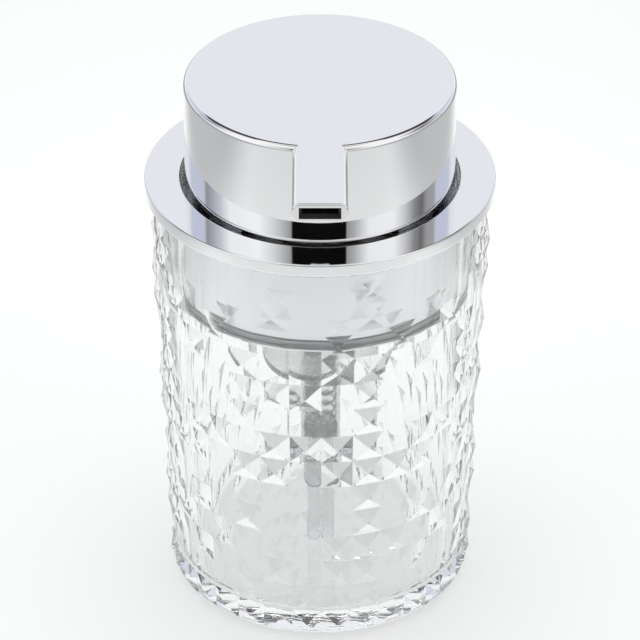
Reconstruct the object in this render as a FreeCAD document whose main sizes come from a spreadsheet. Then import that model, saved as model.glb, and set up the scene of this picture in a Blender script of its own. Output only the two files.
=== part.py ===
"""Foaming soap pump dispenser: a faceted clear bottle, a push-in lid with a well,
a foam pump hung from the lid, and a broad push button with a flat spout.

Frame: millimetres, +Z up, origin at the centre of the bottle's underside.
The spout points along -Y.
"""

import FreeCAD, Part
import math
import os
import re

import Sketcher

from FreeCAD import Vector

doc = FreeCAD.newDocument("soap_pump_dispenser")

# ---------------------------------------------------------------- driving dimensions

DRIVING = [
    # bottle
    ("columns", 32),             # facet columns around the bottle
    ("row_height", 7.0),         # height of one facet row
    ("base_radius", 33.78),      # radius of the column edges, at the underside
    ("side_draft", 0.0385),      # radius gained for each millimetre of height
    ("pyramid_height", 1.1),     # raised point above a flat facet
    ("pattern_turn", 0.5),       # degrees from the spout to the nearest column edge
    ("base_band", 1.0),          # plain band under the lowest row
    ("shoulder_band", 0.8),      # plain band over the highest row
    ("base_rounding", 4.0),
    ("base_spread", 0.62),       # rounded foot beyond the column edges
    ("glass_wall", 2.66),
    ("floor_thickness", 5.0),
    ("floor_rounding", 4.0),
    ("neck_height", 1.9),
    ("rim_rounding", 0.6),
    # lid cover
    ("lid_overhang", 1.41),      # lid edge beyond the shoulder's column edges
    ("lid_thickness", 1.8),
    ("lid_rest_gap", 0.2),
    ("lip_wall", 1.5),
    ("lip_gap", 0.85),
    ("neck_clearance", 0.4),
    ("lid_rounding", 0.4),
    ("collar_wall", 0.85),
    ("collar_depth", 5.9),
    ("hole_rounding", 0.5),
    # lid cup
    ("cup_clearance", 0.65),
    ("sleeve_wall", 1.3),
    ("cup_floor", 2.0),
    ("sleeve_tail", 5.2),
    ("tail_wall", 2.6),
    ("groove_depth", 1.35),
    ("groove_width", 2.2),
    ("groove_edge", 0.6),
    ("seal_clearance", 0.25),
    ("seal_lip", 0.6),
    ("seal_waist", 0.5),
    ("fit_gap", 0.05),
    # button and spout
    ("button_gap", 1.1),
    ("button_rise", 23.95),      # button top above the lid
    ("skirt_overlap", 2.5),      # button skirt below the lid's top face
    ("button_wall", 1.5),
    ("button_top", 2.0),
    ("button_rounding", 1.3),
    ("spout_length", 22.75),     # spout beyond the button's wall
    ("spout_width", 11.9),
    ("spout_height", 4.6),
    ("spout_corner", 1.7),
    ("spout_rounding", 0.4),
    ("mouth_width", 8.9),
    ("mouth_height", 2.7),
    ("duct_wall", 0.5),
    ("duct_recess", 1.2),
    ("duct_back", 5.6),          # duct behind the pump's axis
    # pump engine
    ("stroke", 14.0),
    ("end_clearance", 1.2),
    ("air_outer", 15.0),
    ("air_wall", 1.2),
    ("flange_width", 3.3),
    ("flange_thickness", 1.5),
    ("gasket_thickness", 1.0),
    ("neck_rise", 5.0),          # pump neck above the cup's floor
    ("cap_wall", 2.4),
    ("cap_top", 1.8),
    ("cap_vents", 4),
    ("vent_inset", 3.0),         # vents in from the air cylinder's bore
    ("port_radius", 0.6),        # the small holes that let air or soap by
    ("guide_wall", 1.2),
    ("guide_clearance", 0.1),
    ("piston_drop", 2.0),        # air piston's top below the cup's floor
    ("piston_clearance", 0.2),
    ("piston_length", 7.0),
    ("piston_wall", 1.2),
    ("lip_height", 1.3),
    ("lip_relief", 0.4),
    ("web_drop", 0.5),
    ("web_thickness", 1.5),
    ("web_ports", 6),
    ("port_offset", 1.5),        # ports out from the hub
    ("valve_width", 3.0),
    ("hub_length", 3.0),
    ("hub_wall", 2.9),
    ("stem_outer", 5.0),
    ("stem_bore", 3.4),
    ("shank_outer", 3.6),
    ("shank_bore", 2.5),
    ("barrel_bore", 4.1),
    ("barrel_wall", 1.0),
    ("liquid_piston_length", 5.5),
    ("liquid_clearance", 0.15),
    ("spring_solid", 7.4),       # spring's length with the button pressed
    ("spring_wire", 0.7),
    ("spring_turns", 8),
    ("spring_clearance", 0.35),
    ("ball_size", 1.6),          # radius of both check balls
    ("ball_gap", 0.15),
    ("ball_lift", 1.2),
    ("throat", 1.1),
    ("seat_rise", 1.0),
    ("cage_wall", 0.8),
    ("cage_ports", 4),
    ("cage_port_ring", 2.2),     # radius of the circle of ports
    ("stub_length", 3.0),
    ("stem_neck", 1.3),
    ("stem_neck_length", 1.2),
    ("cage_thickness", 1.2),
    ("throat_length", 2.0),
    ("socket_depth", 8.0),
    ("tube_outer", 2.9),
    ("tube_wall", 0.8),
    ("tube_floor_gap", 1.5),
    ("core_socket_wall", 1.6),
    ("core_socket_depth", 7.5),
    ("core_disc", 1.5),
    ("core_rim", 1.5),
    ("core_rim_depth", 12.0),
    ("core_rib", 1.2),
    ("core_ribs", 6),
    ("core_gap", 0.25),
    ("core_bore", 3.2),
    ("mesh_flange", 1.0),
    ("mesh_length", 10.0),
    ("mesh_wall", 0.85),
    ("mesh_seat", 0.35),
    ("mesh_sheet", 0.25),
]

# Raised pyramids, one line for each row from the top down, one mark for each
# column from 90 degrees left of the spout to 90 degrees right of it. The back
# half of the mould repeats the front half.
PYRAMIDS = [
    ".#.......#....#.",
    ".#....#..#....##",
    "#.#.#...#.#.#..#",
    "##.#.#..##.#.#..",
    ".#...###.#...#.#",
    ".#...#...#...##.",
    "##.##.####.##..#",
    "####.##.####.##.",
    ".#.......#....#.",
    "...#.#...#.#.#.#",
    "###.#...###.#..#",
    "##.#..#.##.#..#.",
    ".....#.#.#....##",
    "##.###.######.##",
]

sheet = doc.addObject("Spreadsheet::Sheet", "Sizes")
for line, (alias, number) in enumerate(DRIVING, start=1):
    sheet.set("A%d" % line, alias)
    sheet.set("B%d" % line, str(number))
    sheet.setAlias("B%d" % line, alias)
sheet.set("A%d" % (len(DRIVING) + 1), "rows")
sheet.set("B%d" % (len(DRIVING) + 1), str(len(PYRAMIDS)))
sheet.setAlias("B%d" % (len(DRIVING) + 1), "rows")
doc.recompute()

# ------------------------------------------------------------- sizes that follow them

FOLLOWS = {}
ALIASES = {alias for alias, number in DRIVING} | {"rows"}


def formula(text):
    """Write a size as an expression on the sheet's cells."""
    def cell(match):
        word = match.group(0)
        if word in FOLLOWS:
            return "(" + FOLLOWS[word] + ")"
        if word in ALIASES:
            return "Sizes." + word
        return word
    return re.sub(r"[a-z_]+", cell, text)


def follow(name, text):
    """Name a size that is worked out from the driving ones."""
    FOLLOWS[name] = formula(text)


def value(text):
    """The present value of a size, in millimetres or degrees."""
    return float(sheet.evalExpression(formula(text)))


# bottle
follow("shoulder", "base_band + rows * row_height + shoulder_band")
follow("shoulder_radius", "base_radius + side_draft * (shoulder - shoulder_band)")
follow("bottle_top", "shoulder + neck_height")
follow("flat_share", "cos(180 / columns)")
follow("floor_radius", "(base_radius + side_draft * floor_thickness) * flat_share - glass_wall")
follow("mouth_radius", "(base_radius + side_draft * bottle_top) * flat_share - glass_wall")
# lid, from the bottle's mouth inwards
follow("lid_radius", "shoulder_radius + lid_overhang")
follow("lip_radius", "lid_radius - lip_wall")
follow("neck_radius", "lip_radius - neck_clearance")
follow("lid_under", "bottle_top + lid_rest_gap")
follow("lid_top", "lid_under + lid_thickness")
follow("skirt_bottom", "lid_top - skirt_overlap")
follow("floor_top", "skirt_bottom - stroke - end_clearance")
follow("floor_under", "floor_top - cup_floor")
follow("sleeve_bottom", "floor_under - sleeve_tail")
follow("groove_low", "sleeve_bottom + groove_edge")
follow("groove_high", "groove_low + groove_width")
follow("seal_radius", "(base_radius + side_draft * groove_low) * flat_share - glass_wall"
       " - seal_clearance")
follow("sleeve_radius", "seal_radius + seal_clearance - cup_clearance")
follow("sleeve_inner", "sleeve_radius - sleeve_wall")
follow("tail_inner", "sleeve_radius - tail_wall")
follow("groove_radius", "sleeve_radius - groove_depth")
follow("collar_radius", "sleeve_inner - fit_gap")
follow("hole_radius", "collar_radius - collar_wall")
follow("button_radius", "hole_radius - button_gap")
follow("button_inner", "button_radius - button_wall")
follow("crown", "lid_top + button_rise")
follow("crown_under", "crown - button_top")
# spout
follow("spout_end", "button_radius + spout_length")
follow("spout_flat", "spout_width / 2 - spout_corner")
follow("spout_start", "sqrt((button_radius - button_rounding)^2 - spout_flat^2) - fit_gap")
follow("spout_low", "crown - spout_height")
follow("mouth_low", "crown - spout_height / 2 - mouth_height / 2")
# pump housing
follow("gasket_low", "floor_under - gasket_thickness")
follow("flange_low", "gasket_low - flange_thickness")
follow("flange_radius", "air_outer + flange_width")
follow("air_bore", "air_outer - air_wall")
follow("housing_top", "floor_top + neck_rise")
follow("cap_under", "housing_top + guide_clearance")
follow("cap_crown", "cap_under + cap_top")
follow("cap_radius", "air_outer + guide_clearance + cap_wall")
follow("guide_bore", "stem_outer + guide_clearance")
follow("piston_top", "floor_under - piston_drop")
follow("guide_bottom", "piston_top + piston_clearance")
follow("piston_bottom", "piston_top - piston_length")
follow("piston_radius", "air_bore - piston_clearance")
follow("piston_inner", "piston_radius - piston_wall")
follow("hub_radius", "shank_outer + hub_wall")
follow("web_top", "piston_top - web_drop")
follow("web_under", "web_top - web_thickness")
follow("hub_low", "piston_top - hub_length")
follow("tube_top", "hub_low - stroke - 2 * liquid_clearance")
follow("air_floor", "piston_bottom - stroke - end_clearance - 2 * liquid_clearance")
follow("air_under", "air_floor - flange_thickness")
follow("liquid_top", "tube_top - piston_clearance")
follow("liquid_bottom", "liquid_top - liquid_piston_length")
follow("liquid_radius", "barrel_bore - liquid_clearance")
follow("cage_top", "liquid_bottom - stroke - spring_solid")
follow("spring_length", "liquid_bottom - cage_top - spring_wire - 2 * fit_gap")
follow("cage_under", "cage_top - cage_thickness")
follow("ball_seat", "sqrt(2) * (ball_size + ball_gap) - throat")
follow("throat_top", "cage_under - ball_gap - ball_lift - ball_size - ball_seat")
follow("barrel_floor", "throat_top + seat_rise")
follow("throat_low", "throat_top - throat_length")
follow("socket_low", "throat_low - socket_depth")
follow("barrel_outer", "barrel_bore + barrel_wall")
follow("socket_bore", "tube_outer + guide_clearance")
follow("dip_low", "floor_thickness + tube_floor_gap")
# moving column
follow("core_low", "cap_crown + stroke + end_clearance + 2 * liquid_clearance")
follow("stem_top", "core_low + core_socket_depth")
follow("core_radius", "button_inner - core_gap")
follow("core_disc_low", "mouth_low - core_disc")
follow("core_rim_low", "mouth_low - core_rim_depth")
follow("socket_radius", "stem_outer + fit_gap + core_socket_wall")
follow("mesh_top", "stem_top + mesh_flange")
follow("mesh_low", "stem_top - mesh_length")
follow("mesh_radius", "stem_bore - fit_gap")
follow("mesh_bore", "mesh_radius - mesh_wall")
follow("screen_radius", "mesh_bore + mesh_wall / 2")
follow("stub_top", "liquid_top + stub_length")
follow("outlet_seat", "stub_top - seat_rise")
follow("neck_in_stem", "outlet_seat + ball_seat + ball_size + ball_lift + ball_gap")

# --------------------------------------------------------------------- making helpers

PIECES = []
SAME = 1e-4          # two sizes closer than this are the same edge's


def keep(piece, label):
    """Take an object as a finished sub-part under this name."""
    piece.Label = label
    PIECES.append(piece)
    return piece


def new_body(label):
    return doc.addObject("PartDesign::Body", label + "_body")


def origin_plane(body, role):
    for feature in body.Origin.OriginFeatures:
        if feature.Role == role:
            return feature
    raise ValueError(role)


def outline(body, name, corners):
    """A closed sketch on the body's XZ plane: corners as (radius, level) texts."""
    sketch = body.newObject("Sketcher::SketchObject", name)
    sketch.AttachmentSupport = (origin_plane(body, "XZ_Plane"), [""])
    sketch.MapMode = "FlatFace"
    places = [Vector(value(x), value(z), 0) for x, z in corners]
    count = len(places)
    for index in range(count):
        sketch.addGeometry(Part.LineSegment(places[index], places[(index + 1) % count]), False)
    for index in range(count):
        after = (index + 1) % count
        sketch.addConstraint(Sketcher.Constraint("Coincident", index, 2, after, 1))
    for index, (x, z) in enumerate(corners):
        for kind, axis, text, number in (("DistanceX", -2, x, places[index].x),
                                         ("DistanceY", -1, z, places[index].y)):
            if text == "0":
                sketch.addConstraint(Sketcher.Constraint("PointOnObject", index, 1, axis))
                continue
            place = sketch.addConstraint(Sketcher.Constraint(kind, -1, 1, index, 1, number))
            sketch.setExpression("Constraints[%d]" % place, formula(text))
    return sketch


def revolve(body, name, corners, cut=False):
    """Turn an outline once round the vertical axis, adding or removing material."""
    sketch = outline(body, name + "_outline", corners)
    kind = "PartDesign::Groove" if cut else "PartDesign::Revolution"
    feature = body.newObject(kind, name)
    feature.Profile = sketch
    feature.ReferenceAxis = (sketch, ["V_Axis"])
    feature.Angle = 360.0
    sketch.Visibility = False
    doc.recompute()
    return feature


def ring(inner, outer, low, high):
    """Corners of a plain rectangular ring section."""
    return [(inner, low), (outer, low), (outer, high), (inner, high)]


def primitive(body, kind, name, sizes, place):
    """Add a PartDesign primitive: its sizes and its corner or centre as texts."""
    feature = body.newObject("PartDesign::" + kind, name)
    for prop, text in sizes.items():
        feature.setExpression(prop, formula(text))
    for axis, text in zip("xyz", place):
        feature.setExpression("Placement.Base." + axis, formula(text))
    doc.recompute()
    return feature


def pattern(body, feature, count):
    """Repeat a feature evenly round the vertical axis; the count is a text."""
    polar = body.newObject("PartDesign::PolarPattern", feature.Name + "_pattern")
    polar.Originals = [feature]
    polar.Axis = (origin_plane(body, "Z_Axis"), [""])
    polar.Angle = 360.0
    polar.setExpression("Occurrences", formula(count))
    body.Tip = polar
    doc.recompute()
    return polar


def ring_edges(shape, radius, level):
    """Names of the full circles of this radius at this height."""
    names = []
    for index, edge in enumerate(shape.Edges, start=1):
        curve = edge.Curve
        if curve.TypeId != "Part::GeomCircle":
            continue
        if abs(curve.Radius - radius) < SAME and abs(curve.Center.z - level) < SAME:
            names.append("Edge%d" % index)
    return names


def round_rings(body, rings, radius):
    """Round the circular edges given as (radius, level) texts."""
    base = body.Tip
    names = []
    for ring_radius, level in rings:
        names += ring_edges(base.Shape, value(ring_radius), value(level))
    if not names:
        raise ValueError("no edge to round in " + body.Label)
    feature = body.newObject("PartDesign::Fillet", body.Name + "_round_" + radius)
    feature.Base = (base, names)
    feature.setExpression("Radius", formula(radius))
    doc.recompute()
    return feature


def turned(label, corners):
    """A sub-part made by turning one outline."""
    body = new_body(label)
    revolve(body, label + "_turned", corners)
    return keep(body, label)


# ------------------------------------------------------------------------- the bottle


def facet_corner(column, level):
    """A point on the edge line between two facet columns."""
    angle = math.radians(value("pattern_turn") + column * 360.0 / value("columns"))
    radius = value("base_radius") + value("side_draft") * level
    return Vector(radius * math.sin(angle), -radius * math.cos(angle), level)


def facet_faces(corners, height):
    """One flat facet, or the four sides of a pyramid standing on it."""
    if not height:
        return [Part.Face(Part.makePolygon(corners + corners[:1]))]
    middle = (corners[0] + corners[1] + corners[2] + corners[3]) * 0.25
    outward = (corners[1] - corners[0]).cross(corners[3] - corners[0])
    outward.normalize()
    tip = middle + outward * height
    sides = zip(corners, corners[1:] + corners[:1])
    return [Part.Face(Part.makePolygon([start, end, tip, start])) for start, end in sides]


def facet_solid():
    """The closed many-sided form of the bottle's outside, base to shoulder."""
    columns = int(value("columns"))
    rows = len(PYRAMIDS)
    half = len(PYRAMIDS[0])
    first = value("base_band")
    levels = [0.0] + [first + value("row_height") * row for row in range(rows + 1)]
    levels.append(value("shoulder"))
    faces = []
    for band in range(len(levels) - 1):
        low, high = levels[band], levels[band + 1]
        marks = PYRAMIDS[rows - band] if 1 <= band <= rows else ""
        for column in range(columns):
            corners = [facet_corner(column, low), facet_corner(column + 1, low),
                       facet_corner(column + 1, high), facet_corner(column, high)]
            raised = marks and marks[(column + half // 2) % half] == "#"
            faces += facet_faces(corners, value("pyramid_height") if raised else 0.0)
    for level in (levels[0], levels[-1]):
        ends = [facet_corner(column, level) for column in range(columns)]
        faces.append(Part.Face(Part.makePolygon(ends + ends[:1])))
    shell = Part.makeShell(faces)
    shell.sewShape()
    solid = Part.makeSolid(shell)
    if solid.Volume < 0:
        solid.reverse()
    return solid


def boolean(kind, name, base, tool):
    piece = doc.addObject("Part::" + kind, name)
    piece.Base = base
    piece.Tool = tool
    doc.recompute()
    return piece


def make_bottle():
    facets = doc.addObject("Part::Feature", "bottle_facets")
    facets.Shape = facet_solid()

    base_form = new_body("bottle_base_form")
    revolve(base_form, "base_form", [
        ("0", "0"),
        ("base_radius + base_spread", "0"),
        ("base_radius + base_spread", "base_rounding + fit_gap"),
        ("shoulder_radius + 2 * pyramid_height", "base_band + row_height"),
        ("shoulder_radius + 2 * pyramid_height", "shoulder + neck_height"),
        ("0", "shoulder + neck_height"),
    ])
    round_rings(base_form, [("base_radius + base_spread", "0")], "base_rounding")

    neck = new_body("bottle_neck_form")
    revolve(neck, "neck_form", ring("floor_radius", "neck_radius",
                                    "shoulder - neck_height", "bottle_top"))
    round_rings(neck, [("neck_radius", "bottle_top")], "rim_rounding")

    cavity = new_body("bottle_cavity_form")
    revolve(cavity, "cavity_form", [
        ("0", "floor_thickness"),
        ("floor_radius", "floor_thickness"),
        ("mouth_radius", "bottle_top - rim_rounding"),
        ("mouth_radius + rim_rounding", "bottle_top"),
        ("mouth_radius + rim_rounding", "bottle_top + neck_height"),
        ("0", "bottle_top + neck_height"),
    ])
    round_rings(cavity, [("floor_radius", "floor_thickness")], "floor_rounding")

    rounded = boolean("Common", "bottle_rounded", facets, base_form)
    necked = boolean("Fuse", "bottle_necked", rounded, neck)
    return keep(boolean("Cut", "bottle_hollow", necked, cavity), "bottle")


# ---------------------------------------------------------------------------- the lid


def make_lid_cover():
    cover = turned("lid_cover", [
        ("hole_radius", "lid_top"),
        ("hole_radius", "lid_under - collar_depth"),
        ("collar_radius", "lid_under - collar_depth"),
        ("collar_radius", "lid_under"),
        ("lip_radius", "lid_under"),
        ("lip_radius", "shoulder + lip_gap"),
        ("lid_radius", "shoulder + lip_gap"),
        ("lid_radius", "lid_top"),
    ])
    round_rings(cover, [("lid_radius", "lid_top")], "lid_rounding")
    round_rings(cover, [("hole_radius", "lid_top"), ("lid_radius", "shoulder + lip_gap")],
                "hole_rounding")


def make_lid_cup():
    turned("lid_cup", [
        ("air_outer + guide_clearance", "floor_top"),
        ("air_outer + guide_clearance", "floor_under"),
        ("tail_inner", "floor_under"),
        ("tail_inner", "sleeve_bottom"),
        ("sleeve_radius", "sleeve_bottom"),
        ("sleeve_radius", "groove_low"),
        ("groove_radius", "groove_low"),
        ("groove_radius", "groove_high"),
        ("sleeve_radius", "groove_high"),
        ("sleeve_radius", "lid_under"),
        ("sleeve_inner", "lid_under"),
        ("sleeve_inner", "floor_top"),
    ])


def make_lid_seal():
    turned("lid_seal", [
        ("groove_radius + fit_gap", "groove_low + fit_gap"),
        ("seal_radius", "groove_low + fit_gap"),
        ("seal_radius", "groove_low + seal_lip"),
        ("seal_radius - seal_waist", "groove_low + seal_lip + fit_gap"),
        ("seal_radius - seal_waist", "groove_high - seal_lip - fit_gap"),
        ("seal_radius", "groove_high - seal_lip"),
        ("seal_radius", "groove_high - fit_gap"),
        ("groove_radius + fit_gap", "groove_high - fit_gap"),
    ])


def make_housing_gasket():
    turned("housing_gasket", ring("air_outer + guide_clearance",
                                  "flange_radius - guide_clearance",
                                  "gasket_low", "floor_under"))


# --------------------------------------------------------------- the pump's fixed side


def make_pump_housing():
    housing = turned("pump_housing", [
        ("air_bore", "housing_top"),
        ("air_bore", "air_floor"),
        ("barrel_outer", "air_floor"),
        ("barrel_outer", "tube_top"),
        ("barrel_bore", "tube_top"),
        ("barrel_bore", "barrel_floor"),
        ("throat + seat_rise", "barrel_floor"),
        ("throat", "throat_top"),
        ("throat", "throat_low"),
        ("socket_bore", "throat_low"),
        ("socket_bore", "socket_low"),
        ("socket_bore + barrel_wall", "socket_low"),
        ("socket_bore + barrel_wall", "throat_low"),
        ("barrel_outer", "throat_low + barrel_wall"),
        ("barrel_outer", "air_under"),
        ("air_outer", "air_under"),
        ("air_outer", "flange_low"),
        ("flange_radius", "flange_low"),
        ("flange_radius", "gasket_low"),
        ("air_outer", "gasket_low"),
        ("air_outer", "housing_top"),
    ])
    round_rings(housing, [("air_outer", "air_under")], "air_wall")


def make_guide_cap():
    cap = turned("guide_cap", [
        ("guide_bore", "cap_crown"),
        ("guide_bore", "guide_bottom"),
        ("guide_bore + guide_wall", "guide_bottom"),
        ("guide_bore + guide_wall", "cap_under"),
        ("air_outer + guide_clearance", "cap_under"),
        ("air_outer + guide_clearance", "floor_top"),
        ("cap_radius", "floor_top"),
        ("cap_radius", "cap_crown"),
    ])
    vent = primitive(cap, "SubtractiveCylinder", "air_vent",
                     {"Radius": "port_radius", "Height": "3 * cap_top"},
                     ("air_bore - vent_inset", "0", "cap_under - cap_top"))
    pattern(cap, vent, "cap_vents")


def make_ball_cage():
    cage = turned("ball_cage", [
        ("cage_wall", "cage_top"),
        ("cage_wall", "cage_under"),
        ("barrel_bore - fit_gap - cage_wall", "cage_under"),
        ("barrel_bore - fit_gap - cage_wall", "barrel_floor"),
        ("barrel_bore - fit_gap", "barrel_floor"),
        ("barrel_bore - fit_gap", "cage_top"),
    ])
    hole = primitive(cage, "SubtractiveCylinder", "cage_port",
                     {"Radius": "port_radius", "Height": "3 * cage_thickness"},
                     ("cage_port_ring", "0", "cage_under - cage_thickness"))
    pattern(cage, hole, "cage_ports")


def make_dip_tube():
    turned("dip_tube", ring("tube_outer - tube_wall", "tube_outer",
                            "dip_low", "throat_low - guide_clearance"))


def make_ball(label, seat):
    """A check ball a hair above its cone."""
    ball = doc.addObject("Part::Sphere", label + "_sphere")
    ball.setExpression("Radius", formula("ball_size"))
    ball.setExpression("Placement.Base.z", formula(seat + " + ball_seat"))
    keep(ball, label)


def make_return_spring():
    body = new_body("return_spring")
    sketch = body.newObject("Sketcher::SketchObject", "spring_section")
    sketch.AttachmentSupport = (origin_plane(body, "XZ_Plane"), [""])
    sketch.MapMode = "FlatFace"
    bound = [
        ("Radius", "spring_wire / 2"),
        ("DistanceX", "barrel_bore - spring_clearance - spring_wire / 2"),
        ("DistanceY", "cage_top + spring_wire / 2 + fit_gap"),
    ]
    radius, across, up = [value(text) for kind, text in bound]
    sketch.addGeometry(Part.Circle(Vector(across, up, 0), Vector(0, 0, 1), radius), False)
    constraints = [
        Sketcher.Constraint("Radius", 0, radius),
        Sketcher.Constraint("DistanceX", -1, 1, 0, 3, across),
        Sketcher.Constraint("DistanceY", -1, 1, 0, 3, up),
    ]
    for constraint, (kind, text) in zip(constraints, bound):
        place = sketch.addConstraint(constraint)
        sketch.setExpression("Constraints[%d]" % place, formula(text))
    coil = body.newObject("PartDesign::AdditiveHelix", "spring_coil")
    coil.Profile = sketch
    coil.ReferenceAxis = (sketch, ["V_Axis"])
    coil.Mode = "pitch-height-angle"
    coil.setExpression("Pitch", formula("spring_length / spring_turns"))
    coil.setExpression("Height", formula("spring_length"))
    doc.recompute()
    keep(body, "return_spring")


# -------------------------------------------------------------- the pump's moving side


def lipped(radius, low, high):
    """The outer edge of a piston, from its lower lip up to its upper lip."""
    return [
        (radius, low),
        (radius, low + " + lip_height"),
        (radius + " - lip_relief", low + " + lip_height + lip_relief"),
        (radius + " - lip_relief", high + " - lip_height - lip_relief"),
        (radius, high + " - lip_height"),
        (radius, high),
    ]


def make_air_piston():
    piston = turned("air_piston", [
        ("shank_outer + fit_gap", "piston_top"),
        ("shank_outer + fit_gap", "hub_low"),
        ("hub_radius", "hub_low"),
        ("hub_radius", "web_under"),
        ("piston_inner", "web_under"),
        ("piston_inner", "piston_bottom"),
    ] + lipped("piston_radius", "piston_bottom", "piston_top") + [
        ("piston_inner", "piston_top"),
        ("piston_inner", "web_top"),
        ("hub_radius", "web_top"),
        ("hub_radius", "piston_top"),
    ])
    port = primitive(piston, "SubtractiveCylinder", "air_port",
                     {"Radius": "port_radius", "Height": "3 * web_thickness"},
                     ("hub_radius + port_offset", "0", "web_under - web_thickness"))
    pattern(piston, port, "web_ports")


def make_air_valve():
    turned("air_valve", ring("hub_radius + fit_gap", "hub_radius + valve_width",
                             "web_under - web_drop - fit_gap", "web_under - fit_gap"))


def make_liquid_piston():
    turned("liquid_piston", [
        ("throat", "outlet_seat"),
        ("throat", "liquid_bottom"),
    ] + lipped("liquid_radius", "liquid_bottom", "liquid_top") + [
        ("shank_bore - fit_gap", "liquid_top"),
        ("shank_bore - fit_gap", "stub_top"),
        ("throat + seat_rise", "stub_top"),
    ])


def make_piston_stem():
    turned("piston_stem", [
        ("stem_bore", "stem_top"),
        ("stem_bore", "piston_top + hub_length"),
        ("shank_bore", "piston_top + hub_length - seat_rise"),
        ("shank_bore", "neck_in_stem + stem_neck_length"),
        ("stem_neck", "neck_in_stem + stem_neck_length"),
        ("stem_neck", "neck_in_stem"),
        ("shank_bore", "neck_in_stem"),
        ("shank_bore", "liquid_top"),
        ("shank_outer", "liquid_top"),
        ("shank_outer", "piston_top"),
        ("stem_outer", "piston_top"),
        ("stem_outer", "stem_top"),
    ])


def make_mesh_cartridge():
    turned("mesh_cartridge", [
        ("mesh_bore", "mesh_top - mesh_seat"),
        ("mesh_bore", "mesh_low + mesh_seat"),
        ("screen_radius + fit_gap", "mesh_low + mesh_seat"),
        ("screen_radius + fit_gap", "mesh_low"),
        ("mesh_radius", "mesh_low"),
        ("mesh_radius", "stem_top"),
        ("stem_outer", "stem_top"),
        ("stem_outer", "mesh_top"),
        ("screen_radius + fit_gap", "mesh_top"),
        ("screen_radius + fit_gap", "mesh_top - mesh_seat"),
    ])


def make_mesh(label, level):
    screen = doc.addObject("Part::Cylinder", label + "_disc")
    screen.setExpression("Radius", formula("screen_radius"))
    screen.setExpression("Height", formula("mesh_sheet"))
    screen.setExpression("Placement.Base.z", formula(level))
    keep(screen, label)


# ------------------------------------------------------------------ button and spout


def rounded_bar(body, name, start, length):
    """The spout's bar: a round-cornered section run towards -Y."""
    sketch = body.newObject("Sketcher::SketchObject", name + "_section")
    sketch.AttachmentSupport = (origin_plane(body, "XZ_Plane"), [""])
    sketch.MapMode = "FlatFace"
    sketch.setExpression("AttachmentOffset.Base.z", formula(start))
    half, corner = value("spout_width") / 2, value("spout_corner")
    low, high = value("spout_low"), value("crown")
    centres = [(half - corner, low + corner), (half - corner, high - corner),
               (corner - half, high - corner), (corner - half, low + corner)]
    quarter = math.pi / 2
    arcs = []
    for index, (x, z) in enumerate(centres):
        circle = Part.Circle(Vector(x, z, 0), Vector(0, 0, 1), corner)
        begin = (index - 1) * quarter
        arcs.append(Part.ArcOfCircle(circle, begin, begin + quarter))
    for arc in arcs:
        sketch.addGeometry(arc, False)
    for index, arc in enumerate(arcs):
        after = arcs[(index + 1) % 4]
        sketch.addGeometry(Part.LineSegment(arc.EndPoint, after.StartPoint), False)
    for index in range(4):
        side = 4 + index
        sketch.addConstraint(Sketcher.Constraint("Tangent", index, 2, side, 1))
        sketch.addConstraint(Sketcher.Constraint("Tangent", side, 2, (index + 1) % 4, 1))
        lie = "Vertical" if index % 2 == 0 else "Horizontal"
        sketch.addConstraint(Sketcher.Constraint(lie, side))
    for index in (1, 2, 3):
        sketch.addConstraint(Sketcher.Constraint("Equal", 0, index))
    bound = [
        (Sketcher.Constraint("Radius", 0, corner), "spout_corner"),
        (Sketcher.Constraint("DistanceX", -1, 1, 4, 1, half), "spout_width / 2"),
        (Sketcher.Constraint("DistanceX", 6, 1, -1, 1, half), "spout_width / 2"),
        (Sketcher.Constraint("DistanceY", -1, 1, 5, 1, high), "crown"),
        (Sketcher.Constraint("DistanceY", -1, 1, 7, 1, low), "spout_low"),
    ]
    for constraint, text in bound:
        place = sketch.addConstraint(constraint)
        sketch.setExpression("Constraints[%d]" % place, formula(text))
    bar = body.newObject("PartDesign::Pad", name)
    bar.Profile = sketch
    bar.setExpression("Length", formula(length))
    doc.recompute()
    return bar


def make_button_shell():
    shell = turned("button_shell", [
        ("0", "crown_under"),
        ("button_inner", "crown_under"),
        ("button_inner", "skirt_bottom"),
        ("button_radius", "skirt_bottom"),
        ("button_radius", "crown"),
        ("0", "crown"),
    ])
    round_rings(shell, [("button_radius", "crown")], "button_rounding")
    before = shell.Shape.Volume
    rounded_bar(shell, "spout_bar", "spout_start", "spout_end - spout_start")
    if shell.Shape.Volume <= before or shell.Shape.BoundBox.YMin > SAME - value("spout_end"):
        raise ValueError("the spout points the wrong way")
    bar = shell.Tip
    end_edges = []
    for index, edge in enumerate(bar.Shape.Edges, start=1):
        if all(abs(vertex.Y + value("spout_end")) < SAME for vertex in edge.Vertexes):
            end_edges.append("Edge%d" % index)
    rounding = shell.newObject("PartDesign::Fillet", "spout_end_round")
    rounding.Base = (bar, end_edges)
    rounding.setExpression("Radius", formula("spout_rounding"))
    doc.recompute()
    primitive(shell, "SubtractiveBox", "mouth",
              {"Length": "mouth_width", "Height": "mouth_height",
               "Width": "spout_end + duct_back + button_wall"},
              ("-mouth_width / 2", "-spout_end - button_wall", "mouth_low"))


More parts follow.
